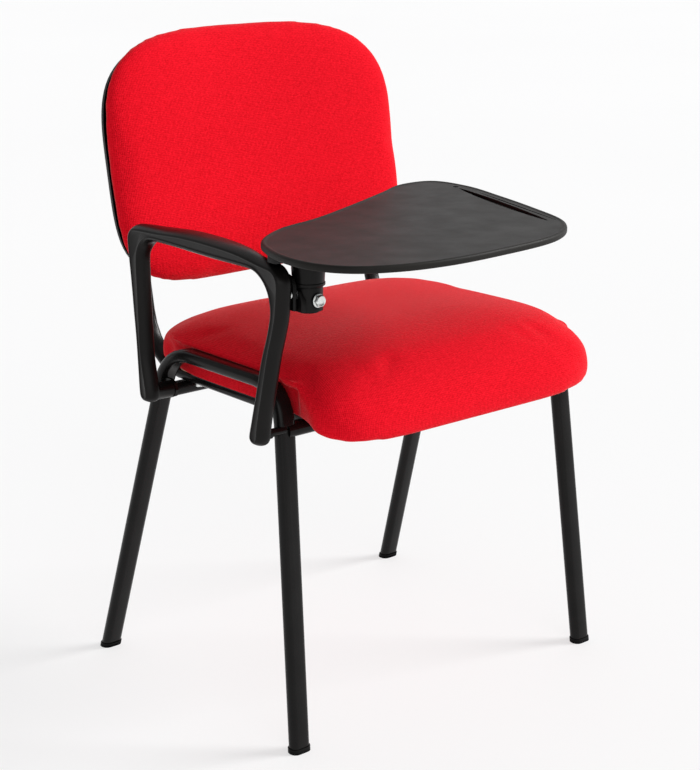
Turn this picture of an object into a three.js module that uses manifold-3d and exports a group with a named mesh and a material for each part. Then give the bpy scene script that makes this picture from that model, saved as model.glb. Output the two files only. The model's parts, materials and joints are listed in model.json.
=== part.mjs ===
// Stacking visitor chair with one loop armrest and a writing tablet that tilts and swivels.
// Millimetres, +Z up. The sitter faces -Y, so the sitter's right hand, with the arm, is on -X.
import * as THREE from "three";
import { mergeVertices } from "three/addons/utils/BufferGeometryUtils.js";
import Module from "manifold-3d";

const manifold = await Module();
manifold.setup();

// ---------------------------------------------------------------- driving dimensions

const GAP = 0.3; // left between touching pieces

// flat-oval tube of the two side frames, its wide side across the chair
const TUBE = { wide: 26, thick: 16, corner: 7, wall: 1.5 };
// leg lines: where a leg's axis meets the floor, and how far it moves per millimetre of height
const FRONT_LEG = { x: 245.4, y: -202, inward: 0.0433, rearward: 0.1112 };
const REAR_LEG = { x: 251.3, y: 202, inward: 0.0495, rearward: -0.3042 };
const FRAME_TOP = 440; // axis of the side frame's level run
const FRONT_BEND = 48;
const REAR_BEND = 60;
const CAP = { sole: 6, lip: 1.2, plug: 24 };

const CROSS = { wide: 22, thick: 16, corner: 6.5, wall: 1.5, frontZ: 388.5, rearZ: 381.8 };
const RAIL = { wide: 22, thick: 13, corner: 6, wall: 1.5, x: 192, z: 397 };
const UPRIGHT = { y: 164, lean: 0.178, top: 640, bend: 80 };

const SEAT = { halfWidth: 233, front: -250, rear: 148, bottom: 404, middle: 431, top: 482, droop: 40 };
const SEAT_WAIST = { squeeze: 0.082, front: [-215, -175], rear: [92, 125] };
const SEAT_BOARD = { halfWidth: 205, front: -190, rear: 120, corner: 50, bottom: 405.2, thick: 11 };
const LINER = { bottom: 403.8, thick: 1.1, rear: 94 };
const SEAT_SCREW_Y = [-76, 62];

const BACK = { centreZ: 655, boardRearY: 215.1, curve: 1300, halfWidth: 236, halfHeight: 163 };
const BACK_BOARD = { halfWidth: 200, halfHeight: 128, thick: 8 };
const BACK_PAD = { front: -43, middle: -12, rear: -1.5 };
const SHELL = { inset: 5, topInset: 5, depth: 26.5, wall: 2.6 };
const BACK_SCREW_Z = [578, 622];

const ARM = { outer: -279, inner: -258.5, edge: 7.5, bossRadius: 11 };
const ARM_FRONT_BOSS = { y: -163.5, z: 391.5 };
const ARM_REAR_BOSS = { y: 59, z: 392.5 };
const ARM_TAB = { inner: -234, outer: -238, radius: 12 }; // lug on the rear leg for the arm

const TILT = { y: -207, z: 564 }; // axis of the tilt pivot, along X
const SWIVEL = { x: -233, y: -210 }; // axis of the swivel stem, along Z
const TABLET = { under: 611.5, top: 620, edge: 2.4, rim: 9, pocket: 4.5 };
const PLATE = { size: 64, corner: 10, thick: 3.2, screw: 23, sink: 1.9 };
const KNUCKLE = { bottom: 544, top: 571.5, radius: 16.5, left: -251.4 };
const STEM_RADIUS = 8;
const CUP = { bottom: 571.8, top: 611.2, radius: 19.5 };
const LOCK_BOLT_Z = 557;

// ---------------------------------------------------------------- materials

const finish = (color, roughness, metalness = 0) =>
  new THREE.MeshStandardMaterial({ color, roughness, metalness });

const blackSteel = () => finish(0x1b1a19, 0.42, 0.2);
const zincSteel = () => finish(0xb9bab8, 0.35, 1);
const blackPlastic = () => finish(0x232120, 0.55);
const tabletPlastic = () => finish(0x45413c, 0.5);
const softRubber = () => finish(0x141414, 0.85);
const redFabric = () => finish(0xd8142a, 0.95);
const plywood = () => finish(0xb98f5c, 0.75);
const blackFelt = () => finish(0x191919, 1);

// ---------------------------------------------------------------- solid helpers

function solidFrom(geometry) {
  const bare = new THREE.BufferGeometry();
  const source = geometry.index ? geometry.toNonIndexed() : geometry;
  bare.setAttribute("position", source.getAttribute("position"));
  const merged = mergeVertices(bare, 1e-4);
  return new manifold.Manifold(
    new manifold.Mesh({
      numProp: 3,
      vertProperties: new Float32Array(merged.attributes.position.array),
      triVerts: new Uint32Array(merged.index.array),
    }),
  );
}

function geometryFrom(solid) {
  const mesh = solid.getMesh();
  const geometry = new THREE.BufferGeometry();
  geometry.setAttribute("position", new THREE.BufferAttribute(mesh.vertProperties, 3));
  geometry.setIndex(new THREE.BufferAttribute(mesh.triVerts, 1));
  return geometry;
}

const cut = (body, ...tools) =>
  geometryFrom(tools.reduce((left, tool) => left.subtract(solidFrom(tool)), solidFrom(body)));
const join = (body, ...others) =>
  geometryFrom(others.reduce((sum, other) => sum.add(solidFrom(other)), solidFrom(body)));
const overlap = (body, other) =>
  geometryFrom(solidFrom(body).intersect(solidFrom(other)));

const point = (x, y, z) => new THREE.Vector3(x, y, z);

// round bar between two points; six sides make a hexagon
function bar(radius, from, to, sides = 20) {
  const axis = to.clone().sub(from);
  const geometry = new THREE.CylinderGeometry(radius, radius, axis.length(), sides);
  const turn = new THREE.Quaternion().setFromUnitVectors(point(0, 1, 0), axis.clone().normalize());
  geometry.applyQuaternion(turn);
  return geometry.translate(...from.clone().add(to).multiplyScalar(0.5).toArray());
}

function block(low, high) {
  const size = high.clone().sub(low);
  const middle = high.clone().add(low).multiplyScalar(0.5);
  return new THREE.BoxGeometry(size.x, size.y, size.z).translate(...middle.toArray());
}

// rounded rectangle about the origin, hollow where it has a wall
function roundedSection(wide, thick, corner, wall = 0) {
  const outline = (path, w, h, r) => {
    path.absarc(w / 2 - r, h / 2 - r, r, 0, Math.PI / 2);
    path.absarc(r - w / 2, h / 2 - r, r, Math.PI / 2, Math.PI);
    path.absarc(r - w / 2, r - h / 2, r, Math.PI, Math.PI * 1.5);
    path.absarc(w / 2 - r, r - h / 2, r, Math.PI * 1.5, Math.PI * 2);
    path.closePath();
    return path;
  };
  const shape = outline(new THREE.Shape(), wide, thick, corner);
  if (wall > 0) {
    shape.holes.push(outline(new THREE.Path(), wide - 2 * wall, thick - 2 * wall, corner - wall));
  }
  return shape;
}

// a polyline with rounded corners, whose stations lie only at the ends of its straight
// stretches and along its bends
class BentPath extends THREE.Curve {
  constructor(corners, radii, bendSteps = 6) {
    super();
    this.stations = [];
    const heading = (from, to) => to.clone().sub(from).normalize();
    this.add(corners[0], heading(corners[0], corners[1]));
    for (let i = 1; i < corners.length - 1; i++) {
      const into = heading(corners[i - 1], corners[i]);
      const out = heading(corners[i], corners[i + 1]);
      const turn = into.angleTo(out);
      const side = out.clone().addScaledVector(into, -out.dot(into)).normalize();
      const radius = radii[i - 1];
      const start = corners[i].clone().addScaledVector(into, -radius * Math.tan(turn / 2));
      for (let step = 0; step <= bendSteps; step++) {
        const angle = (turn * step) / bendSteps;
        const place = start
          .clone()
          .addScaledVector(into, radius * Math.sin(angle))
          .addScaledVector(side, radius * (1 - Math.cos(angle)));
        const along = into.clone().multiplyScalar(Math.cos(angle));
        this.add(place, along.addScaledVector(side, Math.sin(angle)));
      }
    }
    const last = corners.length - 1;
    this.add(corners[last], heading(corners[last - 1], corners[last]));
  }

  add(place, along) {
    this.stations.push({ place, along });
  }

  get steps() {
    return this.stations.length - 1;
  }

  getPointAt(t, target = new THREE.Vector3()) {
    return target.copy(this.stations[Math.round(t * this.steps)].place);
  }

  getTangentAt(t, target = new THREE.Vector3()) {
    return target.copy(this.stations[Math.round(t * this.steps)].along);
  }
}

function sweep(section, path) {
  return new THREE.ExtrudeGeometry(section, {
    steps: path.steps,
    curveSegments: 2,
    extrudePath: path,
  });
}

// a plan outline raised from one height to another
function raised(shape, low, high, edge = 0) {
  const geometry = new THREE.ExtrudeGeometry(shape, {
    depth: high - low - 2 * edge,
    curveSegments: 3,
    bevelEnabled: edge > 0,
    bevelThickness: edge,
    bevelSize: edge,
    bevelOffset: -edge,
    bevelSegments: 2,
  });
  return geometry.translate(0, 0, low + edge);
}

// an outline drawn in the YZ plane, extruded along X with rounded edges
function acrossChair(shape, low, high, edge = 0, segments = 1) {
  const geometry = new THREE.ExtrudeGeometry(shape, {
    depth: high - low - 2 * edge,
    curveSegments: 2,
    bevelEnabled: edge > 0,
    bevelThickness: edge,
    bevelSize: edge,
    bevelOffset: -edge,
    bevelSegments: segments,
  });
  const turned = new THREE.Matrix4().makeBasis(point(0, 1, 0), point(0, 0, 1), point(1, 0, 0));
  return geometry.applyMatrix4(turned).translate(low + edge, 0, 0);
}

// a crowned pad: a sphere squared up in plan and flattened on its faces, centred on the origin;
// half holds its X and Y reach, its height above the widest line and its depth below it;
// underPower shapes the lower face and planPower and endPower the corners at -Y and +Y
function pad(half, { planPower, endPower = planPower, facePower, underPower = facePower }, rows = 14) {
  const columns = 40;
  const geometry = new THREE.SphereGeometry(1, columns, rows).rotateX(Math.PI / 2);
  const places = geometry.getAttribute("position");
  for (let i = 0; i < places.count; i++) {
    const p = new THREE.Vector3().fromBufferAttribute(places, i);
    const spread = Math.min(1, Math.hypot(p.x, p.y));
    const angle = Math.atan2(p.y, p.x);
    const c = Math.cos(angle);
    const s = Math.sin(angle);
    const plan = s < 0 ? planPower : endPower;
    const face = p.z < 0 ? underPower : facePower;
    const norm = (Math.abs(c) ** plan + Math.abs(s) ** plan) ** (1 / plan);
    const reach = spread < 1e-6 ? 0 : spread ** (2 / face) / norm;
    const rise = Math.sign(p.z) * Math.abs(p.z) ** (2 / face);
    places.setXYZ(i, half[0] * reach * c, half[1] * reach * s, half[p.z > 0 ? 2 : 3] * rise);
  }
  return geometry;
}

// moves every vertex by a function of its place
function warp(geometry, move) {
  const places = geometry.getAttribute("position");
  for (let i = 0; i < places.count; i++) {
    const p = move(new THREE.Vector3().fromBufferAttribute(places, i));
    places.setXYZ(i, p.x, p.y, p.z);
  }
  return geometry;
}

// ---------------------------------------------------------------- frame

const legPoint = (leg, side, z) => point(side * (leg.x - leg.inward * z), leg.y + leg.rearward * z, z);

function sideFrameSolid(side, wall, clearance = 0) {
  const path = new BentPath(
    [
      legPoint(REAR_LEG, side, -20),
      legPoint(REAR_LEG, side, FRAME_TOP),
      legPoint(FRONT_LEG, side, FRAME_TOP),
      legPoint(FRONT_LEG, side, -20),
    ],
    [REAR_BEND, FRONT_BEND],
  );
  const { wide, thick, corner } = TUBE;
  return sweep(
    roundedSection(wide + 2 * clearance, thick + 2 * clearance, corner + clearance, wall),
    path,
  );
}

const belowHeight = (z) => block(point(-400, -400, -100), point(400, 400, z));

const ARM_SCREW = { shank: 3, head: 6, reach: -266 };
const ARM_SCREW_HOLE = ARM_SCREW.shank + GAP;

function sideFrame(side) {
  const tube = cut(sideFrameSolid(side, TUBE.wall), belowHeight(CAP.sole + GAP));
  if (side > 0) return tube;
  const { y, z } = ARM_FRONT_BOSS;
  const inside = legPoint(FRONT_LEG, side, z).x;
  return cut(tube, bar(ARM_SCREW_HOLE, point(inside, y, z), point(-260, y, z), 12));
}

// lug in the rear bend of the right side frame, where the arm's rear foot bolts on
function armTab() {
  const { inner, outer, radius } = ARM_TAB;
  const { y, z } = ARM_REAR_BOSS;
  const shape = new THREE.Shape();
  shape.absarc(y, z, radius, Math.PI / 2, Math.PI * 1.5);
  shape.lineTo(legPoint(REAR_LEG, -1, z - radius).y, z - radius);
  shape.lineTo(legPoint(REAR_LEG, -1, z + radius).y, z + radius);
  shape.closePath();
  const hole = bar(ARM_SCREW_HOLE, point(-200, y, z), point(-260, y, z), 12);
  return cut(acrossChair(shape, outer, inner), sideFrameSolid(-1, 0, GAP), hole);
}

// plastic foot: a flat sole wider than the tube, and a plug up inside it
function footCap(leg, side) {
  const path = (low, high) =>
    new BentPath([legPoint(leg, side, low), legPoint(leg, side, high)], []);
  const { wide, thick, corner, wall } = TUBE;
  const sole = sweep(
    roundedSection(wide + 2 * CAP.lip, thick + 2 * CAP.lip, corner + CAP.lip),
    path(-10, 30),
  );
  const inset = wall + GAP;
  const plug = sweep(
    roundedSection(wide - 2 * inset, thick - 2 * inset, corner - inset),
    path(4, CAP.sole + CAP.plug),
  );
  const standing = cut(sole, belowHeight(0));
  const above = block(point(-400, -400, CAP.sole), point(400, 400, 100));
  return join(cut(standing, above), plug);
}

function crossTubeSolid(leg, z, clearance = 0, wall = 0) {
  const { wide, thick, corner } = CROSS;
  const centre = legPoint(leg, 1, z);
  const path = new BentPath([point(-centre.x, centre.y, z), point(centre.x, centre.y, z)], []);
  const grow = 2 * clearance;
  return sweep(roundedSection(thick + grow, wide + grow, corner + clearance, wall), path);
}

function crossTube(leg, z) {
  const { wall } = CROSS;
  return cut(
    crossTubeSolid(leg, z, 0, wall),
    sideFrameSolid(-1, 0, GAP),
    sideFrameSolid(1, 0, GAP),
  );
}

const uprightY = (z) => UPRIGHT.y + (z - RAIL.z) * UPRIGHT.lean;
// square to the uprights, rearward
const REARWARD = point(0, 1, -UPRIGHT.lean).normalize();
const behind = (place, distance) => place.clone().addScaledVector(REARWARD, distance);

// rail under the seat, bent up into the upright that carries the back
function backSupportSolid(side, clearance = 0, wall = 0) {
  const x = side * RAIL.x;
  const top = UPRIGHT.top + clearance;
  const path = new BentPath(
    [
      point(x, legPoint(FRONT_LEG, 1, CROSS.frontZ).y, RAIL.z),
      point(x, UPRIGHT.y, RAIL.z),
      point(x, uprightY(top), top),
    ],
    [UPRIGHT.bend],
  );
  const { wide, thick, corner } = RAIL;
  const grow = 2 * clearance;
  return sweep(roundedSection(thick + grow, wide + grow, corner + clearance, wall), path);
}

function backSupport(side) {
  const x = side * RAIL.x;
  const seatHoles = SEAT_SCREW_Y.map((y) => bar(3.4, point(x, y, 380), point(x, y, 410), 10));
  const backHoles = BACK_SCREW_Z.map((z) => {
    const place = point(x, uprightY(z), z);
    return bar(3.4, behind(place, -20), behind(place, 20), 10);
  });
  return cut(
    backSupportSolid(side, 0, RAIL.wall),
    crossTubeSolid(FRONT_LEG, CROSS.frontZ, GAP),
    ...seatHoles,
    ...backHoles,
  );
}

// ---------------------------------------------------------------- seat

function roundedPlan(halfWidth, front, rear, corner) {
  const shape = roundedSection(2 * halfWidth, rear - front, corner);
  const middle = (front + rear) / 2;
  return new THREE.Shape(shape.getPoints(6).map((p) => new THREE.Vector2(p.x, p.y + middle)));
}

function seatBoard(clearance = 0) {
  const { halfWidth, front, rear, corner, bottom, thick } = SEAT_BOARD;
  const plan = roundedPlan(
    halfWidth + clearance,
    front - clearance,
    rear + clearance,
    corner + clearance,
  );
  return raised(plan, bottom - clearance, bottom + thick + clearance);
}

const seatScrewPlaces = [-1, 1].flatMap((side) => SEAT_SCREW_Y.map((y) => [side * RAIL.x, y]));
const TNUT = { radius: 9, barrel: 4.2, bore: 3.2, thick: 1.6 };

function boredSeatBoard() {
  const { bottom, thick } = SEAT_BOARD;
  const tools = seatScrewPlaces.flatMap(([x, y]) => [
    bar(TNUT.barrel + GAP, point(x, y, bottom - 5), point(x, y, bottom + thick + 5), 10),
    bar(TNUT.radius + GAP, point(x, y, bottom + thick - TNUT.thick - GAP), point(x, y, 430), 14),
  ]);
  return cut(seatBoard(), ...tools);
}

function tnut(from, into, boardThick) {
  const axis = into.clone().sub(from).normalize();
  const back = from.clone().addScaledVector(axis, boardThick - TNUT.thick);
  const front = from.clone().addScaledVector(axis, boardThick);
  const flange = bar(TNUT.radius, back, front, 14);
  const barrel = bar(TNUT.barrel, from.clone().addScaledVector(axis, 1), front, 10);
  const past = front.clone().addScaledVector(axis, 5);
  const bore = bar(TNUT.bore, from.clone().addScaledVector(axis, -5), past, 10);
  return cut(join(flange, barrel), bore);
}

const seatTnuts = () =>
  seatScrewPlaces.map(([x, y]) =>
    tnut(point(x, y, SEAT_BOARD.bottom), point(x, y, 500), SEAT_BOARD.thick),
  );

// round-headed screw: head at the seat point, shank along the axis
function screw(seat, direction, length, shank, head, headThick) {
  const axis = direction.clone().normalize();
  const top = seat.clone().addScaledVector(axis, -headThick);
  const tip = seat.clone().addScaledVector(axis, length);
  const shoulder = seat.clone().addScaledVector(axis, -headThick / 2);
  return join(bar(head, top, seat, 14), bar(shank, shoulder, tip, 8));
}

const seatScrews = () =>
  seatScrewPlaces.map(([x, y]) =>
    screw(point(x, y, RAIL.z - RAIL.thick / 2 - GAP), point(0, 0, 1), 24, 2.9, 6, 3.4),
  );

function seatLiner() {
  const plan = roundedPlan(
    SEAT_BOARD.halfWidth + 3,
    SEAT_BOARD.front - 3,
    LINER.rear,
    SEAT_BOARD.corner,
  );
  const holes = seatScrewPlaces.map(([x, y]) => bar(4, point(x, y, 390), point(x, y, 410), 10));
  return cut(raised(plan, LINER.bottom, LINER.bottom + LINER.thick), ...holes);
}

function seatCushion() {
  const { halfWidth, front, rear, bottom, middle, top, droop } = SEAT;
  const halfDepth = (rear - front) / 2;
  const above = top - middle;
  const below = middle - bottom;
  const form = { planPower: 6, endPower: 4.6, facePower: 2.5, underPower: 6 };
  const cushion = pad([halfWidth, halfDepth, above, below], form);
  warp(cushion, (p) => {
    const y = p.y + (front + rear) / 2;
    // beside the side frames the lower half stays between them, and the upper half swells over
    const lower = 1 - THREE.MathUtils.smoothstep(p.z + middle, 438, 454);
    const beside =
      THREE.MathUtils.smoothstep(y, ...SEAT_WAIST.front) *
      (1 - THREE.MathUtils.smoothstep(y, ...SEAT_WAIST.rear));
    const squeeze = 1 - SEAT_WAIST.squeeze * lower * beside;
    // the front edge rolls down
    const forward = THREE.MathUtils.clamp((-p.y - halfDepth * 0.4) / (halfDepth * 0.6), 0, 1);
    const share = p.z > 0 ? 0.8 - (0.35 * p.z) / above : 0.8;
    return point(p.x * squeeze, y, p.z + middle - droop * share * forward * forward);
  });
  const recess = seatBoard(GAP + 0.2);
  const linerRoom = block(point(-208.5, -193.5, 370), point(208.5, 128.5, SEAT_BOARD.bottom));
  const crossRoom = crossTubeSolid(FRONT_LEG, CROSS.frontZ, 2);
  const frameRoom = [-1, 1].flatMap((side) => [
    sideFrameSolid(side, 0, GAP),
    backSupportSolid(side, GAP),
  ]);
  return cut(cushion, recess, linerRoom, crossRoom, ...frameRoom);
}

// ---------------------------------------------------------------- back

// back pieces are drawn flat, lying in XZ about the origin with Y rearward, then curved round
// the sitter and leaned back; y = 0 is the board's rear face
const curveBack = (p) =>
  point(
    p.x,
    BACK.boardRearY + p.y - p.x ** 2 / (2 * BACK.curve) + p.z * UPRIGHT.lean,
    BACK.centreZ + p.z,
  );

// a flat slab with enough columns to be curved
function backSlab(halfWidth, halfHeight, front, rear, corner) {
  const columns = 16;
  const slab = new THREE.BoxGeometry(2 * halfWidth, rear - front, 2 * halfHeight, columns, 1, 1);
  slab.translate(0, (front + rear) / 2, 0);
  warp(slab, (p) => {
    const past = Math.max(0, Math.abs(p.x) - (halfWidth - corner));
    const round = corner - Math.sqrt(Math.max(0, corner ** 2 - past ** 2));
    return point(p.x, p.y, Math.sign(p.z) * (halfHeight - round));
  });
  return warp(slab, curveBack);
}

const backScrewPlaces = [-1, 1].flatMap((side) =>
  BACK_SCREW_Z.map((z) => point(side * RAIL.x, uprightY(z), z)),
);
const SHELL_SCREW = { floor: 9, boss: 6.5, head: 4, shank: 1.8, clearance: 0.4 };
// where each shell screw crosses the rear face of the board
const shellScrewPlaces = [-1, 1].flatMap((side) =>
  [-84, 84].map((z) => curveBack(point(side * 110, 0, z))),
);

function backBoard() {
  const { halfWidth, halfHeight, thick } = BACK_BOARD;
  const holes = backScrewPlaces.map((p) => bar(3.2, behind(p, -30), behind(p, 20), 10));
  const pilots = shellScrewPlaces.map((p) => bar(2.1, behind(p, -20), behind(p, 5), 12));
  return cut(backSlab(halfWidth, halfHeight, -thick, 0, 40), ...holes, ...pilots);
}

const backScrews = () =>
  backScrewPlaces.map((p) => {
    const seat = behind(p, RAIL.thick / 2 + GAP);
    return screw(seat, REARWARD.clone().negate(), 20, 2.8, 5.5, 2.6);
  });

function backCushion() {
  const { front, middle, rear } = BACK_PAD;
  // turned up on end, the pad's +Y side becomes the top and its upper face the front
  const half = [BACK.halfWidth - 3, BACK.halfHeight - 2, middle - front, rear - middle];
  const cushion = pad(half, { planPower: 4.4, endPower: 3.4, facePower: 2.6 });
  cushion.rotateX(Math.PI / 2);
  warp(cushion, (p) => curveBack(point(p.x, p.y + middle, p.z)));
  const { halfWidth, halfHeight, thick } = BACK_BOARD;
  const recess = backSlab(halfWidth + 0.6, halfHeight + 0.6, -thick - 0.6, 30, 40);
  return cut(cushion, recess);
}

// plastic pan behind the back, with bosses for the screws that hold it to the board
function backShell() {
  const { inset, topInset, depth, wall } = SHELL;
  const dome = (inside) => {
    const halfWidth = BACK.halfWidth - inset - inside;
    const halfHeight = BACK.halfHeight - inset - topInset / 2 - inside;
    const form = { planPower: 4.4, endPower: 3.4, facePower: 3 };
    const shape = pad([halfWidth, halfHeight, depth - inside, depth - inside], form, 12);
    shape.rotateX(Math.PI / 2).translate(0, 0, -topInset / 2);
    return warp(shape, curveBack);
  };
  const { floor, boss, head, shank, clearance } = SHELL_SCREW;
  const posts = shellScrewPlaces.map((p) => bar(boss, behind(p, -3), behind(p, 40), 10));
  const pockets = shellScrewPlaces.map((p) =>
    bar(head + clearance, behind(p, floor), behind(p, 45), 10),
  );
  const holes = shellScrewPlaces.map((p) =>
    bar(shank + clearance, behind(p, -5), behind(p, 45), 8),
  );
  const headRooms = backScrewPlaces.map((p) => bar(6.4, behind(p, 0), behind(p, 9.8), 12));
  return cut(
    join(cut(dome(0), dome(wall)), overlap(join(...posts), dome(0))),
    backSlab(300, 220, -80, 0.6, 1),
    backSupportSolid(-1, 1.5),
    backSupportSolid(1, 1.5),
    ...pockets,
    ...holes,
    ...headRooms,
  );
}

const shellScrews = () =>
  shellScrewPlaces.map((p) => {
    const { floor, shank, head } = SHELL_SCREW;
    return screw(behind(p, floor + GAP), REARWARD.clone().negate(), 15, shank, head, 2.2);
  });

// ---------------------------------------------------------------- armrest

// the loop in side view: up the rear post, along the top, down the front post, and back inside
function armOutline() {
  const v = (y, z) => new THREE.Vector2(y, z);
  const shape = new THREE.Shape();
  const rear = ARM_REAR_BOSS;
  const front = ARM_FRONT_BOSS;
  const r = ARM.bossRadius;
  shape.absarc(rear.y, rear.z, r, -Math.PI, 0);
  shape.splineThru([v(73.5, 425), v(75.5, 460), v(78.6, 493), v(82, 530), v(86.5, 566)]);
  shape.absarc(67.5, 584, 19, 0, Math.PI * 0.42);
  shape.splineThru([v(20, 605.5), v(-30, 608), v(-90, 608), v(-140, 605.5), v(-196, 598)]);
  shape.absarc(-196, 576, 22, Math.PI / 2, Math.PI);
  shape.splineThru([v(-213.5, 540), v(-207, 516), v(-199, 491), v(-187, 442), v(-178, 404)]);
  shape.absarc(front.y, front.z, r, -Math.PI, 0);
  shape.splineThru([v(-157, 412), v(-165, 442), v(-178, 491), v(-187, 516), v(-194.5, 546)]);
  shape.absarc(-158, 546, 36.5, Math.PI, Math.PI / 2, true);
  shape.splineThru([v(-80, 585), v(0, 586.5), v(38, 586)]);
  shape.absarc(38, 564, 22, Math.PI / 2, 0, true);
  shape.splineThru([v(58.5, 520), v(57.5, 480), v(56.5, 440), v(rear.y - r, rear.z)]);
  return shape;
}

const PIVOT = { shank: 4, bore: 4.3, head: 7, headThick: 2.2 };
const BRACKET = { low: -258.2, high: -253.2, y: -203, foot: 546, eye: 574, radius: 12 };
const BRACKET_SCREWS = [
  { y: -200, z: 551.5 },
  { y: -199.5, z: 577 },
];

function armrest() {
  const { outer, inner, edge, bossRadius } = ARM;
  const rear = ARM_REAR_BOSS;
  const loop = acrossChair(armOutline(), outer, inner, edge, 3);
  // the top widens towards the sitter
  warp(loop, (p) => {
    const along = THREE.MathUtils.clamp((p.y + 165) / 235, 0, 1);
    const across = THREE.MathUtils.smoothstep(p.x, outer + 8, inner);
    const widen = p.z > 575 ? 11 * Math.sin(Math.PI * along) ** 0.8 * across : 0;
    return point(p.x + widen, p.y, p.z);
  });
  const tabFace = ARM_TAB.outer - GAP;
  const rearFoot = bar(
    bossRadius - 0.5,
    point(inner - 8, rear.y, rear.z),
    point(tabFace, rear.y, rear.z),
  );
  const screwHoles = [ARM_FRONT_BOSS, ARM_REAR_BOSS].map(({ y, z }) =>
    bar(ARM_SCREW_HOLE, point(ARM_SCREW.reach - 1, y, z), point(-200, y, z), 12),
  );
  const pivotPocket = bar(
    PIVOT.head + GAP,
    point(inner - PIVOT.headThick - 0.8, TILT.y, TILT.z),
    point(inner + 5, TILT.y, TILT.z),
  );
  const bracketHoles = BRACKET_SCREWS.map(({ y, z }) =>
    bar(2.3, point(inner - 13, y, z), point(inner + 5, y, z), 12),
  );
  return cut(
    join(loop, rearFoot),
    sideFrameSolid(-1, 0, GAP),
    ...screwHoles,
    pivotPocket,
    ...bracketHoles,
  );
}

// threaded stud from the arm's front foot into the outer wall of the front leg, with a collar
function armFrontStud() {
  const { y, z } = ARM_FRONT_BOSS;
  const near = ARM.inner + GAP;
  const stud = join(
    bar(6.5, point(near, y, z), point(near + 5, y, z)),
    bar(5, point(near, y, z), point(-232, y, z)),
  );
  const { shank, reach } = ARM_SCREW;
  const inTube = legPoint(FRONT_LEG, -1, z).x - 4;
  return join(
    cut(stud, sideFrameSolid(-1, 0, GAP)),
    bar(shank, point(reach, y, z), point(inTube, y, z), 12),
  );
}

// screw from inside the chair through the rear tab into the arm's rear foot
function armRearScrew() {
  const { shank, head, reach } = ARM_SCREW;
  const seat = point(ARM_TAB.inner + GAP, ARM_REAR_BOSS.y, ARM_REAR_BOSS.z);
  return screw(seat, point(-1, 0, 0), seat.x - reach, shank, head, 3);
}

// ---------------------------------------------------------------- tablet joint, fixed side

function armBracket() {
  const { low, high, y, foot, eye, radius } = BRACKET;
  const shape = new THREE.Shape();
  shape.moveTo(y - radius, foot);
  shape.lineTo(y + radius, foot);
  shape.absarc(y, eye, radius, 0, Math.PI);
  shape.closePath();
  const plate = acrossChair(shape, low, high, 0.8);
  const pivotHole = bar(PIVOT.bore, point(-270, TILT.y, TILT.z), point(-240, TILT.y, TILT.z));
  const screwHoles = BRACKET_SCREWS.flatMap((place) => [
    bar(2.3, point(-270, place.y, place.z), point(-240, place.y, place.z), 12),
    bar(4, point(high - 2, place.y, place.z), point(-240, place.y, place.z), 16),
  ]);
  return cut(plate, pivotHole, ...screwHoles);
}

const bracketScrews = () =>
  BRACKET_SCREWS.map(({ y, z }) =>
    screw(point(BRACKET.high - 1.7, y, z), point(-1, 0, 0), 13, 2, 3.6, 1.5),
  );

function pivotStud() {
  const { shank, head, headThick } = PIVOT;
  const start = ARM.inner - headThick - 0.4;
  const at = (x) => point(x, TILT.y, TILT.z);
  return join(bar(head, at(start), at(start + headThick)), bar(shank, at(start + 1), at(-243.5)));
}

function pivotWasher() {
  const at = (x) => point(x, TILT.y, TILT.z);
  const disc = bar(7.8, at(-252.9), at(-251.7), 24);
  return cut(disc, bar(PIVOT.bore, at(-260), at(-240)));
}

// rubber block on the arm that the tablet comes down on
function restPad() {
  const plan = roundedSection(17, 17, 4);
  return raised(plan, 600.2, TABLET.under - GAP, 1).translate(-268, -198.5, 0);
}

// ---------------------------------------------------------------- tablet joint, tilting side

function knuckle() {
  const { bottom, top, radius, left } = KNUCKLE;
  const { x, y } = SWIVEL;
  const ring = bar(radius, point(x, y, bottom), point(x, y, top), 32);
  const lug = new THREE.Shape();
  lug.moveTo(TILT.y - 14, bottom);
  lug.lineTo(TILT.y + 13, bottom);
  lug.absarc(TILT.y - 0.5, TILT.z - 6, 13.5, 0, Math.PI);
  lug.closePath();
  const arm = acrossChair(lug, left, x - 6, 1);
  const bolt = (r) => bar(r, point(x, y - 40, LOCK_BOLT_Z), point(x, y, LOCK_BOLT_Z), 16);
  return cut(
    join(ring, arm),
    bar(STEM_RADIUS + GAP, point(x, y, bottom - 5), point(x, y, top + 5), 24),
    bolt(4.1),
    bar(PIVOT.bore, point(left - 5, TILT.y, TILT.z), point(-243, TILT.y, TILT.z)),
  );
}

// hexagon bolt that presses on the stem and holds the swivel where it is set
function lockBolt() {
  const { x, y } = SWIVEL;
  const at = (distance) => point(x, y - distance, LOCK_BOLT_Z);
  const seat = KNUCKLE.radius + 0.5;
  const washer = bar(7.6, at(seat + 1.4), at(seat), 24);
  const head = bar(6.9, at(seat + 6.2), at(seat + 1.2), 6);
  const shank = bar(3.8, at(seat + 3), at(STEM_RADIUS + 0.6), 16);
  return join(washer, head, shank);
}

// ---------------------------------------------------------------- tablet, swivelling side

function swivelCup() {
  const { bottom, top, radius } = CUP;
  const profile = [
    [0, 543.6],
    [STEM_RADIUS, 543.6],
    [STEM_RADIUS, bottom],
    [radius - 1.4, bottom],
    [radius - 0.4, bottom + 1],
    [radius - 0.4, bottom + 3.5],
    [radius - 1.2, bottom + 4.3],
    [radius, top - 12],
    [radius, top],
    [0, top],
  ].map(([r, z]) => new THREE.Vector2(r, z));
  const body = new THREE.LatheGeometry(profile, 28).rotateX(Math.PI / 2);
  body.translate(SWIVEL.x, SWIVEL.y, 0);
  const { x, y } = SWIVEL;
  return cut(body, bar(2.8, point(x, y, 540), point(x, y, 557), 12));
}

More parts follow.
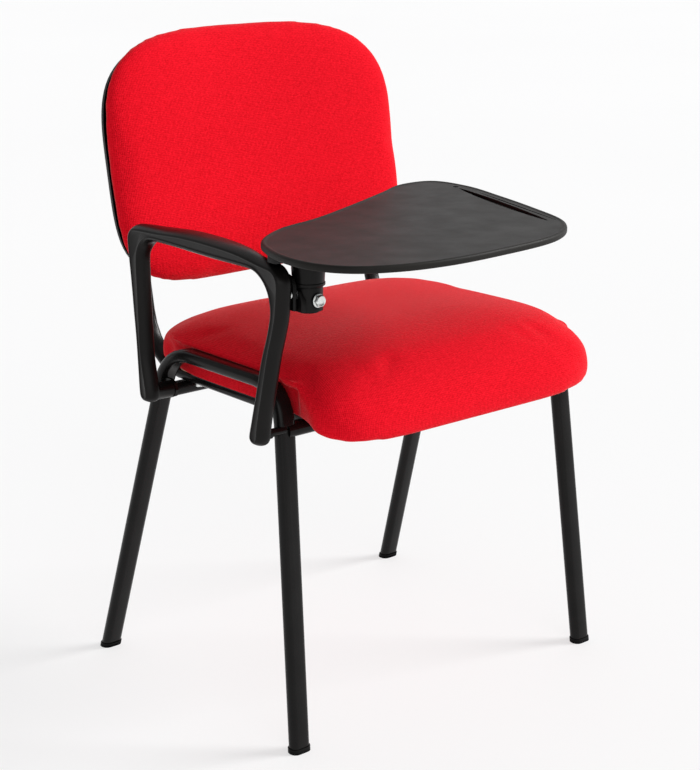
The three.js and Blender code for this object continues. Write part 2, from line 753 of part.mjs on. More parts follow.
function stemRetainer() {
  const { x, y } = SWIVEL;
  return join(
    bar(12, point(x, y, 541.6), point(x, y, 543.3), 24),
    bar(5, point(x, y, 539.8), point(x, y, 542), 6),
    bar(2.4, point(x, y, 542), point(x, y, 555), 12),
  );
}

const TABLET_SCREWS = [-1, 1].flatMap((i) =>
  [-1, 1].map((j) => [SWIVEL.x + PLATE.screw * i, SWIVEL.y + PLATE.screw * j]),
);

function tabletPlate() {
  const plan = roundedSection(PLATE.size, PLATE.size, PLATE.corner);
  const plate = raised(plan, TABLET.under, TABLET.under + PLATE.thick - GAP);
  plate.translate(SWIVEL.x, SWIVEL.y, 0);
  const holes = TABLET_SCREWS.flatMap(([x, y]) => [
    bar(2.4, point(x, y, 600), point(x, y, 630), 12),
    bar(4.6, point(x, y, 600), point(x, y, TABLET.under + PLATE.sink), 12),
  ]);
  return cut(plate, ...holes);
}

const tabletScrews = () =>
  TABLET_SCREWS.map(([x, y]) =>
    screw(point(x, y, TABLET.under + PLATE.sink - GAP), point(0, 0, 1), 5, 2, 4.2, 1.5),
  );

// pear-shaped outline, measured from the swivel axis
const TABLET_OUTLINE = [
  [-34, 42],
  [-55, 4],
  [-67, -38],
  [-66, -88],
  [-45, -126],
  [1, -152],
  [61, -164],
  [136, -163],
  [232, -151],
  [278, -128],
  [311, -92],
  [340, -18],
  [366, 66],
  [386, 150],
  [377, 207],
  [326, 213],
  [267, 184],
  [167, 136],
  [91, 103],
  [24, 83],
];

function tabletShape(steps) {
  const places = TABLET_OUTLINE.map(([x, y]) => point(SWIVEL.x + x, SWIVEL.y + y, 0));
  const curve = new THREE.CatmullRomCurve3(places, true, "centripetal");
  const outline = curve.getPoints(steps).slice(0, steps);
  return new THREE.Shape(outline.map((p) => new THREE.Vector2(p.x, p.y)));
}

// pen groove near the far edge, with a small round well at its rear end
const GROOVE = { from: [366, 134], to: [300, -72], radius: 5, depth: 3 };

function tabletTop() {
  const { under, top, edge, rim, pocket } = TABLET;
  const slab = raised(tabletShape(56), under, top, edge);
  // shallow pockets under the slab, between a rim, crossing ribs and a solid pad at the plate
  const inside = new THREE.ExtrudeGeometry(tabletShape(32), {
    depth: 10,
    bevelEnabled: true,
    bevelThickness: 1,
    bevelSize: 1,
    bevelOffset: -rim - 1,
    bevelSegments: 1,
  }).translate(0, 0, under + pocket - 11);
  const ribs = [100, 190, 280].map((x) =>
    block(point(SWIVEL.x + x - 1.5, -500, 590), point(SWIVEL.x + x + 1.5, 200, 630)),
  );
  const rails = [-60, 40, 130].map((y) =>
    block(point(-400, SWIVEL.y + y - 1.5, 590), point(300, SWIVEL.y + y + 1.5, 630)),
  );
  const hub = bar(68, point(SWIVEL.x, SWIVEL.y, 590), point(SWIVEL.x, SWIVEL.y, 630), 40);
  const pockets = cut(inside, ...ribs, ...rails, hub);
  const size = PLATE.size + 2 * GAP;
  const recess = raised(roundedSection(size, size, PLATE.corner), under - 5, under + PLATE.thick);
  recess.translate(SWIVEL.x, SWIVEL.y, 0);
  const pilots = TABLET_SCREWS.map(([x, y]) =>
    bar(2.3, point(x, y, under - 5), point(x, y, under + 7), 12),
  );
  const onTablet = ([x, y], z) => point(SWIVEL.x + x, SWIVEL.y + y, z);
  const { from, to, radius, depth } = GROOVE;
  const lift = radius - depth;
  const groove = bar(radius, onTablet(from, top + lift), onTablet(to, top + lift), 16);
  const wellPlace = [from[0] + 2, from[1] + 11];
  const well = bar(3.4, onTablet(wellPlace, top - 5), onTablet(wellPlace, top + 5), 16);
  return cut(slab, pockets, recess, ...pilots, groove, well);
}

// ---------------------------------------------------------------- assembly

const chair = new THREE.Group();

function node(name, geometry, material) {
  const mesh = new THREE.Mesh(geometry, material);
  mesh.name = name;
  chair.add(mesh);
}

const RIGHT_LEFT_FRONT_REAR = ["right_front", "right_rear", "left_front", "left_rear"];
const RIGHT_LEFT_LOW_HIGH = ["right_low", "right_high", "left_low", "left_high"];

function nodes(name, words, geometries, material) {
  words.forEach((word, index) => node(`${name}_${word}`, geometries[index], material()));
}

for (const [side, word] of [
  [-1, "right"],
  [1, "left"],
]) {
  node(`side_frame_${word}`, sideFrame(side), blackSteel());
  node(`back_support_${word}`, backSupport(side), blackSteel());
  node(`foot_cap_front_${word}`, footCap(FRONT_LEG, side), blackPlastic());
  node(`foot_cap_rear_${word}`, footCap(REAR_LEG, side), blackPlastic());
}
node("cross_tube_front", crossTube(FRONT_LEG, CROSS.frontZ), blackSteel());
node("cross_tube_rear", crossTube(REAR_LEG, CROSS.rearZ), blackSteel());
node("arm_tab", armTab(), blackSteel());

node("seat_board", boredSeatBoard(), plywood());
nodes("seat_tnut", RIGHT_LEFT_FRONT_REAR, seatTnuts(), zincSteel);
nodes("seat_screw", RIGHT_LEFT_FRONT_REAR, seatScrews(), zincSteel);
node("seat_liner", seatLiner(), blackFelt());
node("seat_cushion", seatCushion(), redFabric());

node("back_board", backBoard(), plywood());
nodes("back_screw", RIGHT_LEFT_LOW_HIGH, backScrews(), zincSteel);
node("back_cushion", backCushion(), redFabric());
node("back_shell", backShell(), blackPlastic());
nodes("shell_screw", RIGHT_LEFT_LOW_HIGH, shellScrews(), zincSteel);

node("armrest", armrest(), blackPlastic());
node("arm_front_stud", armFrontStud(), blackSteel());
node("arm_rear_screw", armRearScrew(), zincSteel());

node("arm_bracket", armBracket(), blackSteel());
nodes("bracket_screw", ["low", "high"], bracketScrews(), zincSteel);
node("pivot_stud", pivotStud(), zincSteel());
node("pivot_washer", pivotWasher(), zincSteel());
node("tablet_rest_pad", restPad(), softRubber());

node("hub_knuckle", knuckle(), blackPlastic());
node("lock_bolt", lockBolt(), zincSteel());

node("swivel_cup", swivelCup(), blackPlastic());
node("stem_retainer", stemRetainer(), zincSteel());
node("tablet_plate", tabletPlate(), blackSteel());
nodes("tablet_screw", RIGHT_LEFT_FRONT_REAR, tabletScrews(), zincSteel);
node("tablet_top", tabletTop(), tabletPlastic());

// the origin is the middle of the chair's footprint box, on the floor
const bounds = new THREE.Box3().setFromObject(chair);
chair.position.set(-(bounds.min.x + bounds.max.x) / 2, -(bounds.min.y + bounds.max.y) / 2, 0);

export default chair;
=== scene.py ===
"""Looks for the student desk chair: upholstery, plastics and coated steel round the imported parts."""

import json
import math

import bmesh
import bpy
import numpy as np
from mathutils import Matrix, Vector


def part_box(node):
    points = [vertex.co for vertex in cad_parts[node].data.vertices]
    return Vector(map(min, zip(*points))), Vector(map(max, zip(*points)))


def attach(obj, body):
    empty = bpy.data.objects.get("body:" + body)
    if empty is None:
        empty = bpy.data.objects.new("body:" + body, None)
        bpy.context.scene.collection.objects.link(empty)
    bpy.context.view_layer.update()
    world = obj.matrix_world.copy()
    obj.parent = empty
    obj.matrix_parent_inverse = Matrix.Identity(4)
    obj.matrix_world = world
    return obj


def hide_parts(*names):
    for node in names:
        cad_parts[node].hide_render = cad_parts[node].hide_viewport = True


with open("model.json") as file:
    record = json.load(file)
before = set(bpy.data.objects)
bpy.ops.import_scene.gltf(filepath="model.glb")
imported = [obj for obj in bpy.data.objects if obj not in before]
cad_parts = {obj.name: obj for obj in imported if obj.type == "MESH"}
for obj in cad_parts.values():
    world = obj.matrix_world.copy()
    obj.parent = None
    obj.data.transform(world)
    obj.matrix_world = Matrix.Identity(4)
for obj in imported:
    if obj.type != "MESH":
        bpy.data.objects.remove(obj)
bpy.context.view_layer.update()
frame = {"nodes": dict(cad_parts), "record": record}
scene = bpy.context.scene
MM = 0.001

# ------------------------------------------------------------------ where the chair stands

right_lo, right_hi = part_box("side_frame_right")
left_lo, left_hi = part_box("side_frame_left")
# middle plane between the side frames, and midway between front and rear feet, which lies this
# much behind the middle of a side frame
FEET_SHIFT = 0.00055
MIDDLE = Vector(((right_lo.x + left_hi.x) / 2, (right_lo.y + right_hi.y) / 2 + FEET_SHIFT, 0))


def place(x, y, z):
    """A point of the row frame from millimetres about the chair's middle."""
    return Vector((x * MM, y * MM, z * MM)) + MIDDLE


# ------------------------------------------------------------------ mesh helpers


def mesh_object(name, verts, faces):
    mesh = bpy.data.meshes.new(name)
    mesh.from_pydata([tuple(v) for v in verts], [], faces)
    mesh.update()
    made = bpy.data.objects.new(name, mesh)
    scene.collection.objects.link(made)
    mesh.shade_smooth()
    return made


def rings_object(name, rings):
    """A closed skin through rings of equal length, capped at both ends."""
    count = len(rings[0])
    verts = [p for ring in rings for p in ring]
    faces = []
    for r in range(len(rings) - 1):
        for i in range(count):
            j = (i + 1) % count
            a, b = r * count, (r + 1) * count
            faces.append((a + i, a + j, b + j, b + i))
    last = (len(rings) - 1) * count
    faces.append(tuple(range(count - 1, -1, -1)))
    faces.append(tuple(last + i for i in range(count)))
    return mesh_object(name, verts, faces)


def bake_modifiers(made):
    """Replaces the object's mesh by its evaluated one and drops the modifiers."""
    bpy.context.view_layer.update()
    graph = bpy.context.evaluated_depsgraph_get()
    mesh = bpy.data.meshes.new_from_object(made.evaluated_get(graph))
    made.modifiers.clear()
    made.data = mesh
    return made


def carve(made, tools, operation="DIFFERENCE"):
    for tool in tools:
        step = made.modifiers.new("carve", "BOOLEAN")
        step.object, step.operation, step.solver = tool, operation, "EXACT"
    bake_modifiers(made)
    for tool in tools:
        bpy.data.objects.remove(tool)
    return made


def cylinder(name, start, end, radius, sides=48):
    axis = (end - start).normalized()
    side = axis.orthogonal().normalized()
    up = axis.cross(side)
    turn = [2 * math.pi * i / sides for i in range(sides)]
    ring = [side * math.cos(t) * radius + up * math.sin(t) * radius for t in turn]
    return rings_object(name, [[start + p for p in ring], [end + p for p in ring]])


def box_object(name, low, high):
    xs, ys, zs = zip(low, high)
    ring = [(xs[0], ys[0]), (xs[1], ys[0]), (xs[1], ys[1]), (xs[0], ys[1])]
    return rings_object(name, [[Vector((x, y, z)) for x, y in ring] for z in zs])


def smooth_by_angle(angle):
    """Node group that joins the corners of a faceted mesh and shades it smooth up to an angle."""
    group = bpy.data.node_groups.new(f"smooth_{angle}", "GeometryNodeTree")
    group.interface.new_socket("Geometry", in_out="INPUT", socket_type="NodeSocketGeometry")
    group.interface.new_socket("Geometry", in_out="OUTPUT", socket_type="NodeSocketGeometry")
    new, link = group.nodes.new, group.links.new
    start, end = new("NodeGroupInput"), new("NodeGroupOutput")
    weld = new("GeometryNodeMergeByDistance")
    weld.inputs["Distance"].default_value = 2e-6
    soft, hard = new("GeometryNodeSetShadeSmooth"), new("GeometryNodeSetShadeSmooth")
    hard.domain = "EDGE"
    hard.inputs["Shade Smooth"].default_value = False
    edge, over = new("GeometryNodeInputMeshEdgeAngle"), new("FunctionNodeCompare")
    over.operation = "GREATER_THAN"
    over.inputs[1].default_value = math.radians(angle)
    link(start.outputs[0], weld.inputs["Geometry"])
    link(weld.outputs[0], soft.inputs["Geometry"])
    link(soft.outputs[0], hard.inputs["Geometry"])
    link(edge.outputs["Unsigned Angle"], over.inputs[0])
    link(over.outputs[0], hard.inputs["Selection"])
    link(hard.outputs[0], end.inputs[0])
    return group


SMOOTH = smooth_by_angle(38)


def shade(made):
    for name in ("custom_normal", "sharp_face", "sharp_edge"):
        if name in made.data.attributes:
            made.data.attributes.remove(made.data.attributes[name])
    step = made.modifiers.new("smooth", "NODES")
    step.node_group = SMOOTH


# ------------------------------------------------------------------ material helpers


class Surface:
    """A node material with short calls for its parts."""

    def __init__(self, name, colour, roughness, metallic=0.0, **values):
        self.material = bpy.data.materials.new(name)
        self.material.use_nodes = True
        self.tree = self.material.node_tree
        self.bsdf = self.tree.nodes["Principled BSDF"]
        self.set("Base Color", (*colour, 1))
        self.set("Roughness", roughness)
        self.set("Metallic", metallic)
        for key, value in values.items():
            self.set(key.replace("_", " "), value)
        self.where = self.node("ShaderNodeTexCoord").outputs["Object"]

    def set(self, socket, value):
        self.bsdf.inputs[socket].default_value = value

    def node(self, kind, inputs=(), **props):
        made = self.tree.nodes.new(kind)
        for key, value in props.items():
            setattr(made, key, value)
        for key, value in dict(inputs).items():
            if isinstance(value, bpy.types.NodeSocket):
                self.tree.links.new(value, made.inputs[key])
            else:
                made.inputs[key].default_value = value
        return made

    def math(self, operation, a, b=0.0):
        return self.node("ShaderNodeMath", {0: a, 1: b}, operation=operation).outputs[0]

    def noise(self, scale, detail=3.0, roughness=0.5, where=None):
        inputs = {"Vector": where or self.where, "Scale": scale, "Detail": detail}
        return self.node("ShaderNodeTexNoise", {**inputs, "Roughness": roughness}).outputs["Fac"]

    def ramp(self, factor, low, high, first, last):
        """Colours or levels from first to last as the factor goes from low to high."""
        made = self.node("ShaderNodeMapRange", {"Value": factor, 1: low, 2: high})
        if isinstance(first, tuple):
            mix = self.node("ShaderNodeMix", {0: made.outputs[0]}, data_type="RGBA")
            mix.inputs[6].default_value, mix.inputs[7].default_value = (*first, 1), (*last, 1)
            return mix.outputs[2]
        made.inputs[3].default_value, made.inputs[4].default_value = first, last
        return made.outputs[0]

    def bump(self, height, distance, strength):
        inputs = {"Height": height, "Distance": distance, "Strength": strength}
        self.feed("Normal", self.node("ShaderNodeBump", inputs).outputs[0])

    def feed(self, socket, source):
        self.tree.links.new(source, self.bsdf.inputs[socket])


def weave_height(s, pitch):
    """Crossing diagonal threads drawn on the three box planes and mixed by the surface's normal."""
    split = s.node("ShaderNodeSeparateXYZ", {0: s.where}).outputs
    facing = s.node("ShaderNodeSeparateXYZ", {0: s.node("ShaderNodeTexCoord").outputs["Normal"]})
    wander = s.math("MULTIPLY", s.math("SUBTRACT", s.noise(260, 2), 0.5), 5.5)
    k = 2 * math.pi / (pitch * math.sqrt(2))
    heights, weights = [], []
    for u, v, across in ((0, 1, 2), (0, 2, 1), (1, 2, 0)):
        plus = s.math("MULTIPLY", s.math("ADD", split[u], split[v]), k)
        minus = s.math("MULTIPLY", s.math("SUBTRACT", split[u], split[v]), k)
        warp = s.math("SINE", s.math("ADD", plus, wander))
        weft = s.math("SINE", s.math("SUBTRACT", minus, wander))
        heights.append(s.math("MULTIPLY", warp, weft))
        weights.append(s.math("POWER", s.math("ABSOLUTE", facing.outputs[across]), 6.0))
    total = s.math("ADD", s.math("ADD", weights[0], weights[1]), weights[2])
    parts = [s.math("MULTIPLY", h, w) for h, w in zip(heights, weights)]
    mixed = s.math("ADD", s.math("ADD", parts[0], parts[1]), parts[2])
    return s.math("DIVIDE", mixed, s.math("ADD", total, 1e-4))


def red_fabric():
    s = Surface("red_crepe", (0.62, 0.004, 0.012), 0.92, Sheen_Weight=0.38, Sheen_Roughness=0.32)
    s.set("Sheen Tint", (1.0, 0.44, 0.42, 1))
    s.set("Specular IOR Level", 0.04)
    threads = weave_height(s, 0.0031)
    slub = s.noise(310, 3, 0.6)
    fuzz = s.noise(1500, 3, 0.7)
    height = s.math("ADD", s.math("MULTIPLY", threads, 0.45), s.math("MULTIPLY", slub, 1.6))
    tone = s.math("ADD", height, s.math("MULTIPLY", fuzz, 0.5))
    broad = s.math("MULTIPLY", s.noise(9, 3), 0.22)
    s.feed(
        "Base Color",
        s.ramp(s.math("ADD", tone, broad), 0.5, 1.8, (0.52, 0.001, 0.006), (0.85, 0.0085, 0.023)),
    )
    s.bump(s.math("ADD", height, s.math("MULTIPLY", fuzz, 0.35)), 0.0006, 0.6)
    return s.material


def coated_steel():
    s = Surface("black_powder_coat", (0.006, 0.0057, 0.0055), 0.22)
    s.set("Specular IOR Level", 0.15)
    peel = s.noise(750, 2)
    haze = s.noise(24, 4, 0.6)
    s.feed("Roughness", s.ramp(haze, 0.3, 0.7, 0.2, 0.27))
    s.feed("Base Color", s.ramp(haze, 0.3, 0.75, (0.0045, 0.0042, 0.004), (0.0075, 0.007, 0.0068)))
    s.bump(peel, 0.0001, 0.3)
    return s.material


def moulded_plastic(name, low, high, roughness, specular=0.1, grain=0.00016, grain_scale=1100):
    s = Surface(name, high, roughness)
    haze = s.noise(14, 3, 0.5)
    scuff = s.noise(26, 4, 0.55)
    # painted shade: an ambient occlusion mask darkens grooves and recesses to near black and takes their
    # specular away
    out_of_painted_shade = s.node("ShaderNodeAmbientOcclusion", {"Distance": 0.012}).outputs["AO"]
    out_of_painted_shade = s.ramp(out_of_painted_shade, 0.45, 0.9, 0.0, 1.0)
    skin = s.ramp(haze, 0.3, 0.7, low, high)
    # the near-black colour is the painted shade of the recesses
    mixed = s.node(
        "ShaderNodeMix", {0: out_of_painted_shade, 6: (0.003, 0.003, 0.0034, 1), 7: skin}, data_type="RGBA"
    )
    s.feed("Base Color", mixed.outputs[2])
    s.feed("Specular IOR Level", s.ramp(out_of_painted_shade, 0.0, 1.0, 0.0, specular))
    s.feed("Roughness", s.ramp(scuff, 0.3, 0.75, roughness - 0.04, roughness + 0.05))
    cells = s.node("ShaderNodeTexVoronoi", {"Vector": s.where, "Scale": grain_scale})
    s.bump(cells.outputs["Distance"], grain, 0.3)
    return s.material


def zinc():
    s = Surface("bright_zinc", (0.78, 0.79, 0.78), 0.24, 1.0)
    stretched = s.node("ShaderNodeMapping", {"Vector": s.where, "Scale": (900, 900, 5200)})
    lines = s.noise(1.0, 3, where=stretched.outputs[0])
    s.feed("Roughness", s.ramp(lines, 0.3, 0.7, 0.16, 0.36))
    s.feed("Base Color", s.ramp(s.noise(220, 3), 0.3, 0.7, (0.66, 0.67, 0.66), (0.86, 0.87, 0.85)))
    s.bump(lines, 0.00005, 0.4)
    return s.material


def birch_ply():
    s = Surface("birch_plywood", (0.55, 0.38, 0.21), 0.62)
    stretched = s.node("ShaderNodeMapping", {"Vector": s.where, "Scale": (9, 120, 420)})
    grain = s.noise(1.0, 6, 0.6, where=stretched.outputs[0])
    s.feed("Base Color", s.ramp(grain, 0.3, 0.7, (0.36, 0.22, 0.11), (0.66, 0.48, 0.28)))
    s.bump(grain, 0.0003, 0.4)
    return s.material


def lining_cloth():
    s = Surface("black_lining", (0.012, 0.012, 0.013), 0.95, Sheen_Weight=0.1)
    fibres = s.noise(700, 5, 0.75)
    s.feed("Base Color", s.ramp(fibres, 0.3, 0.7, (0.008, 0.008, 0.009), (0.028, 0.028, 0.03)))
    s.bump(fibres, 0.0006, 0.7)
    return s.material


def soft_rubber():
    s = Surface("soft_rubber", (0.012, 0.012, 0.012), 0.82)
    s.feed("Roughness", s.ramp(s.noise(60, 4), 0.3, 0.7, 0.74, 0.9))
    s.bump(s.noise(1300, 2), 0.00015, 0.5)
    return s.material


MATERIALS = {
    "frame_steel": coated_steel(),
    "zinc_steel": zinc(),
    "foot_plastic": moulded_plastic("foot_plastic", (0.006, 0.006, 0.006), (0.010, 0.010, 0.0095), 0.5),
    "arm_plastic": moulded_plastic(
        "arm_plastic", (0.0036, 0.0031, 0.0029), (0.0054, 0.0046, 0.0042), 0.32, 0.16
    ),
    "shell_plastic": moulded_plastic(
        "shell_plastic", (0.009, 0.0086, 0.0084), (0.014, 0.0132, 0.013), 0.55, 0.3, 0.0003, 620
    ),
    "tablet_plastic": moulded_plastic(
        "tablet_plastic", (0.0142, 0.0134, 0.0122), (0.0178, 0.0166, 0.015), 0.5, 0.1, 0.00006, 1400
    ),
    "upholstery": red_fabric(),
    "plywood": birch_ply(),
    "felt_liner": lining_cloth(),
    "rest_rubber": soft_rubber(),
}


def dress(made, slot):
    made.data.materials.clear()
    made.data.materials.append(MATERIALS[slot])


def finish_piece(made, body, slot, *nodes):
    """Gives a new piece its finish, hangs it on the body that it rides on and hides the CAD nodes that it
    stands for.
    """
    dress(made, slot)
    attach(made, body)
    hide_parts(*nodes)


slot_of = {row["node"]: row["material_slot"] for row in frame["record"]["subparts"]}
# painted shade: fasteners that sit in the shade under the arm get the black coated steel instead of their
# listed finish
SHADE_DARKENED_FASTENERS = ("stem_retainer", "arm_rear_screw")
for node_name, node in frame["nodes"].items():
    dress(node, "frame_steel" if node_name in SHADE_DARKENED_FASTENERS else slot_of[node_name])
    shade(node)

# ------------------------------------------------------------------ upholstery


def smoothstep(x, low, high):
    t = np.clip((x - low) / (high - low), 0, 1)
    return t * t * (3 - 2 * t)


def crowned_pad(half, plan_powers, face_powers, columns=160, rows=80):
    """Points of a sphere squared up in plan and flattened on its faces, with its quads. The powers
    are for the corners at -Y and at +Y, and for the upper and the lower face; half ends with the
    height above the widest line and the depth below it."""
    lat = np.linspace(math.pi / 2, -math.pi / 2, rows + 1)[1:-1]
    lon = np.linspace(0, 2 * math.pi, columns, endpoint=False)
    lat, lon = (a.ravel() for a in np.meshgrid(lat, lon, indexing="ij"))
    c, s = np.cos(lon), np.sin(lon)
    plan = np.where(s < 0, *plan_powers)
    face = np.where(lat > 0, *face_powers)
    norm = (abs(c) ** plan + abs(s) ** plan) ** (1 / plan)
    reach = np.cos(lat) ** (2 / face) / norm
    rise = np.sign(np.sin(lat)) * abs(np.sin(lat)) ** (2 / face)
    rise *= np.where(lat > 0, half[2], half[3])
    points = np.column_stack([half[0] * reach * c, half[1] * reach * s, rise])
    points = np.vstack([points, [0, 0, half[2]], [0, 0, -half[3]]])
    faces = []
    for r in range(rows - 2):
        for i in range(columns):
            j = (i + 1) % columns
            a, b = r * columns, (r + 1) * columns
            faces.append((a + i, b + i, b + j, a + j))
    top, low, last = len(points) - 2, len(points) - 1, (rows - 2) * columns
    for i in range(columns):
        j = (i + 1) % columns
        faces.append((top, i, j))
        faces.append((low, last + j, last + i))
    return points, faces


def points_of(mesh):
    flat = np.zeros(len(mesh.vertices) * 3)
    mesh.vertices.foreach_get("co", flat)
    return flat.reshape(-1, 3)


def put_points(mesh, points):
    mesh.vertices.foreach_set("co", np.asarray(points, np.float32).ravel())
    mesh.update()


def relaxed(mesh, points, rounds):
    """Points after some rounds of averaging with their neighbours."""
    edges = np.array([e.vertices[:] for e in mesh.edges])
    count = np.bincount(edges.ravel(), minlength=len(points))[:, None]
    for _ in range(rounds):
        total = np.zeros_like(points)
        np.add.at(total, edges[:, 0], points[edges[:, 1]])
        np.add.at(total, edges[:, 1], points[edges[:, 0]])
        points = points + 0.5 * (total / count - points)
    return points


def upholster(name, points, faces, held, cap, keep_out, pressure=4.0):
    """A foam piece under a cloth cover: the cover is blown up against its own stretch, and each of
    its points moves at most cap metres. held says which points stay on what they lie on. What the
    smoothing takes off the outline is put back at the end."""
    low, high = points.min(axis=0), points.max(axis=0)
    made = mesh_object(name, points, faces)
    bpy.context.view_layer.objects.active = made
    made.select_set(True)
    made.data.remesh_voxel_size = 0.005
    bpy.ops.object.voxel_remesh()
    made.select_set(False)
    mesh = made.data
    base = relaxed(mesh, points_of(mesh), 4)
    put_points(mesh, base)
    pinned = np.flatnonzero(held(base))
    group = made.vertex_groups.new(name="held")
    group.add(pinned.tolist(), 1.0, "REPLACE")
    cloth = made.modifiers.new("cover", "CLOTH").settings
    cloth.use_pressure, cloth.uniform_pressure_force = True, pressure
    cloth.effector_weights.gravity = 0
    cloth.vertex_group_mass = "held"
    cloth.quality = 5
    cloth.tension_stiffness = cloth.compression_stiffness = 20
    cloth.bending_stiffness = 1.5
    for step in range(1, 21):
        scene.frame_set(step)
    graph = bpy.context.evaluated_depsgraph_get()
    blown = points_of(made.evaluated_get(graph).data)
    made.modifiers.clear()
    scene.frame_set(1)
    move = blown - base
    length = np.linalg.norm(move, axis=1)[:, None]
    move *= np.minimum(1, cap / np.maximum(length, 1e-9))
    base = relaxed(mesh, base + move, 6)
    now_low, now_high = base.min(axis=0), base.max(axis=0)
    base = low + (base - now_low) * (high - low) / (now_high - now_low)
    put_points(mesh, keep_out(base))
    step = made.modifiers.new("finer", "SUBSURF")
    step.levels = step.render_levels = 1
    bake_modifiers(made)
    made.data.shade_smooth()
    return made


SEAT = {"half_width": 234, "front": -250, "rear": 148, "bottom": 404, "middle": 431, "top": 484}
DROOP = 38


def seat_points(points):
    """The seat's shape: waisted between the side frames, its front edge rolled down."""
    x, y, z = points.T
    half_depth = (SEAT["rear"] - SEAT["front"]) / 2
    above = SEAT["top"] - SEAT["middle"]
    ahead = np.clip((-y - half_depth * 0.3) / (half_depth * 0.7), 0, 1)
    y = y + (SEAT["front"] + SEAT["rear"]) / 2
    lower = 1 - smoothstep(z + SEAT["middle"], 438, 454)
    beside = smoothstep(y, -218, -176) * (1 - smoothstep(y, 92, 127))
    squeeze = 1 - 0.086 * lower * beside
    share = np.where(z > 0, 0.8 - 0.35 * z / above, 0.8)
    z = z + SEAT["middle"] - DROOP * share * ahead**2
    return np.column_stack([x * squeeze, y, z]) * MM + np.array(MIDDLE)


# level run of a side frame's tube: its axis, half its section, its corners and the gap kept to it
BAR = {"x": 226.35, "z": 440, "half_x": 13, "half_z": 8, "corner": 7, "gap": 0.7}


def clear_of_side_frames(points):
    """Keeps the seat inside the side frames' tubes, and lays it on them above their axis."""
    x, y, z = ((points - np.array(MIDDLE)) / MM).T
    past_ends = np.clip(smoothstep(-y, 166, 192) + smoothstep(y, 88, 112), 0, 1)
    limit = BAR["x"] - BAR["half_x"] - BAR["gap"] + 30 * past_ends
    x = np.where(z < BAR["z"], np.clip(x, -limit, limit), x)
    out = abs(x) - BAR["x"]
    across = abs(out) - (BAR["half_x"] - BAR["corner"])
    up = z - BAR["z"] - (BAR["half_z"] - BAR["corner"])
    side_way, up_way = np.maximum(across, 0), np.maximum(up, 0)
    length = np.hypot(side_way, up_way)
    missing = np.maximum(BAR["corner"] + BAR["gap"] - length, 0) * (1 - past_ends)
    missing = np.where((z >= BAR["z"]) & (length > 0), missing / np.maximum(length, 1e-6), 0)
    x = x + np.sign(x) * np.sign(out) * side_way * missing
    z = z + up_way * missing
    return np.column_stack([x, y, z]) * MM + np.array(MIDDLE)


half = (
    SEAT["half_width"],
    (SEAT["rear"] - SEAT["front"]) / 2,
    SEAT["top"] - SEAT["middle"],
    SEAT["middle"] - SEAT["bottom"],
)
pad_points, pad_faces = crowned_pad(half, (6.0, 5.0), (2.6, 9.0))
seat = upholster(
    "seat_upholstery",
    seat_points(pad_points),
    pad_faces,
    held=lambda p: p[:, 2] < 0.408,
    cap=0.003,
    keep_out=clear_of_side_frames,
)
finish_piece(seat, "chair", "upholstery", "seat_cushion")

BACK = {"centre_z": 655, "board_y": 215.1, "curve": 1300, "half_width": 234, "half_height": 161}
LEAN = 0.178
PAD_FRONT, PAD_MIDDLE, PAD_REAR = -43.0, -12.0, -1.0


def back_points(points):
    """Curves flat back pieces round the sitter and leans them; Y is rearward from the board."""
    x, y, z = points.T
    curved = y + BACK["board_y"] - x**2 / (2 * BACK["curve"]) + z * LEAN
    return np.column_stack([x, curved, z + BACK["centre_z"]]) * MM + np.array(MIDDLE)


def upright(points):
    """Stands a pad that lies in XY up in XZ, with its underside to the rear."""
    return np.column_stack([points[:, 0], -points[:, 2], points[:, 1]])


half = (
    BACK["half_width"], BACK["half_height"], PAD_MIDDLE - PAD_FRONT, PAD_REAR - PAD_MIDDLE
)
pad_points, pad_faces = crowned_pad(half, (4.4, 3.4), (2.6, 3.4))
pad_points = upright(pad_points) + [0, PAD_MIDDLE, 0]


def against_the_pan(points):
    """The rear face of the back pad, which lies on the board and the pan."""
    x, y, z = ((points - np.array(MIDDLE)) / MM).T
    rear = BACK["board_y"] - x**2 / (2 * BACK["curve"]) + (z - BACK["centre_z"]) * LEAN
    return y > rear - 5


back = upholster(
    "back_upholstery",
    back_points(pad_points),
    pad_faces,
    held=against_the_pan,
    cap=0.003,
    keep_out=lambda p: p,
)
finish_piece(back, "chair", "upholstery", "back_cushion")

# ------------------------------------------------------------------ pan behind the back

PAN = {"inset": 5, "top_inset": 6, "depth": 26.5, "wall": 2.6, "start": 0.3}


def pan_skin(inside):
    """Half of a crowned pad, from its rim to the crown, as rings from the rim inwards."""
    half_x = BACK["half_width"] + 2 - PAN["inset"] - inside
    half_z = BACK["half_height"] + 2 - PAN["inset"] - PAN["top_inset"] / 2 - inside
    depth = PAN["depth"] - inside
    columns, rows = 144, 30
    turn = np.linspace(0, 2 * math.pi, columns, endpoint=False)
    c, s = np.cos(turn), np.sin(turn)
    plan = np.where(s < 0, 4.4, 3.4)
    norm = (abs(c) ** plan + abs(s) ** plan) ** (1 / plan)
    rings = []
    for row in range(rows):
        lat = math.pi / 2 * (row / (rows - 1)) * 0.985
        reach = math.cos(lat) ** (2 / 3.0) / norm
        rise = math.sin(lat) ** (2 / 3.0)
        up = half_z * reach * s - PAN["top_inset"] / 2
        flat = np.column_stack([half_x * reach * c, np.full(columns, depth * rise), up])
        flat[:, 1] = np.maximum(flat[:, 1], PAN["start"])
        rings.append([Vector(p) for p in back_points(flat)])
    return rings


outer, inner = pan_skin(0), pan_skin(PAN["wall"])
pan = rings_object("back_pan", [*inner[::-1], *outer])


def upright_room(side):
    """Space round an upright where it enters the pan."""
    ring = []
    for i in range(32):
        t = 2 * math.pi * i / 32
        ring.append((12.6 * math.copysign(abs(math.cos(t)) ** 0.55, math.cos(t)),
                     8.2 * math.copysign(abs(math.sin(t)) ** 0.7, math.sin(t))))
    ends = []
    for z in (470, 642):
        y = 164 + (z - 397) * LEAN
        ends.append([place(side * 192 + u, y + v, z) for u, v in ring])
    return rings_object("room", ends)


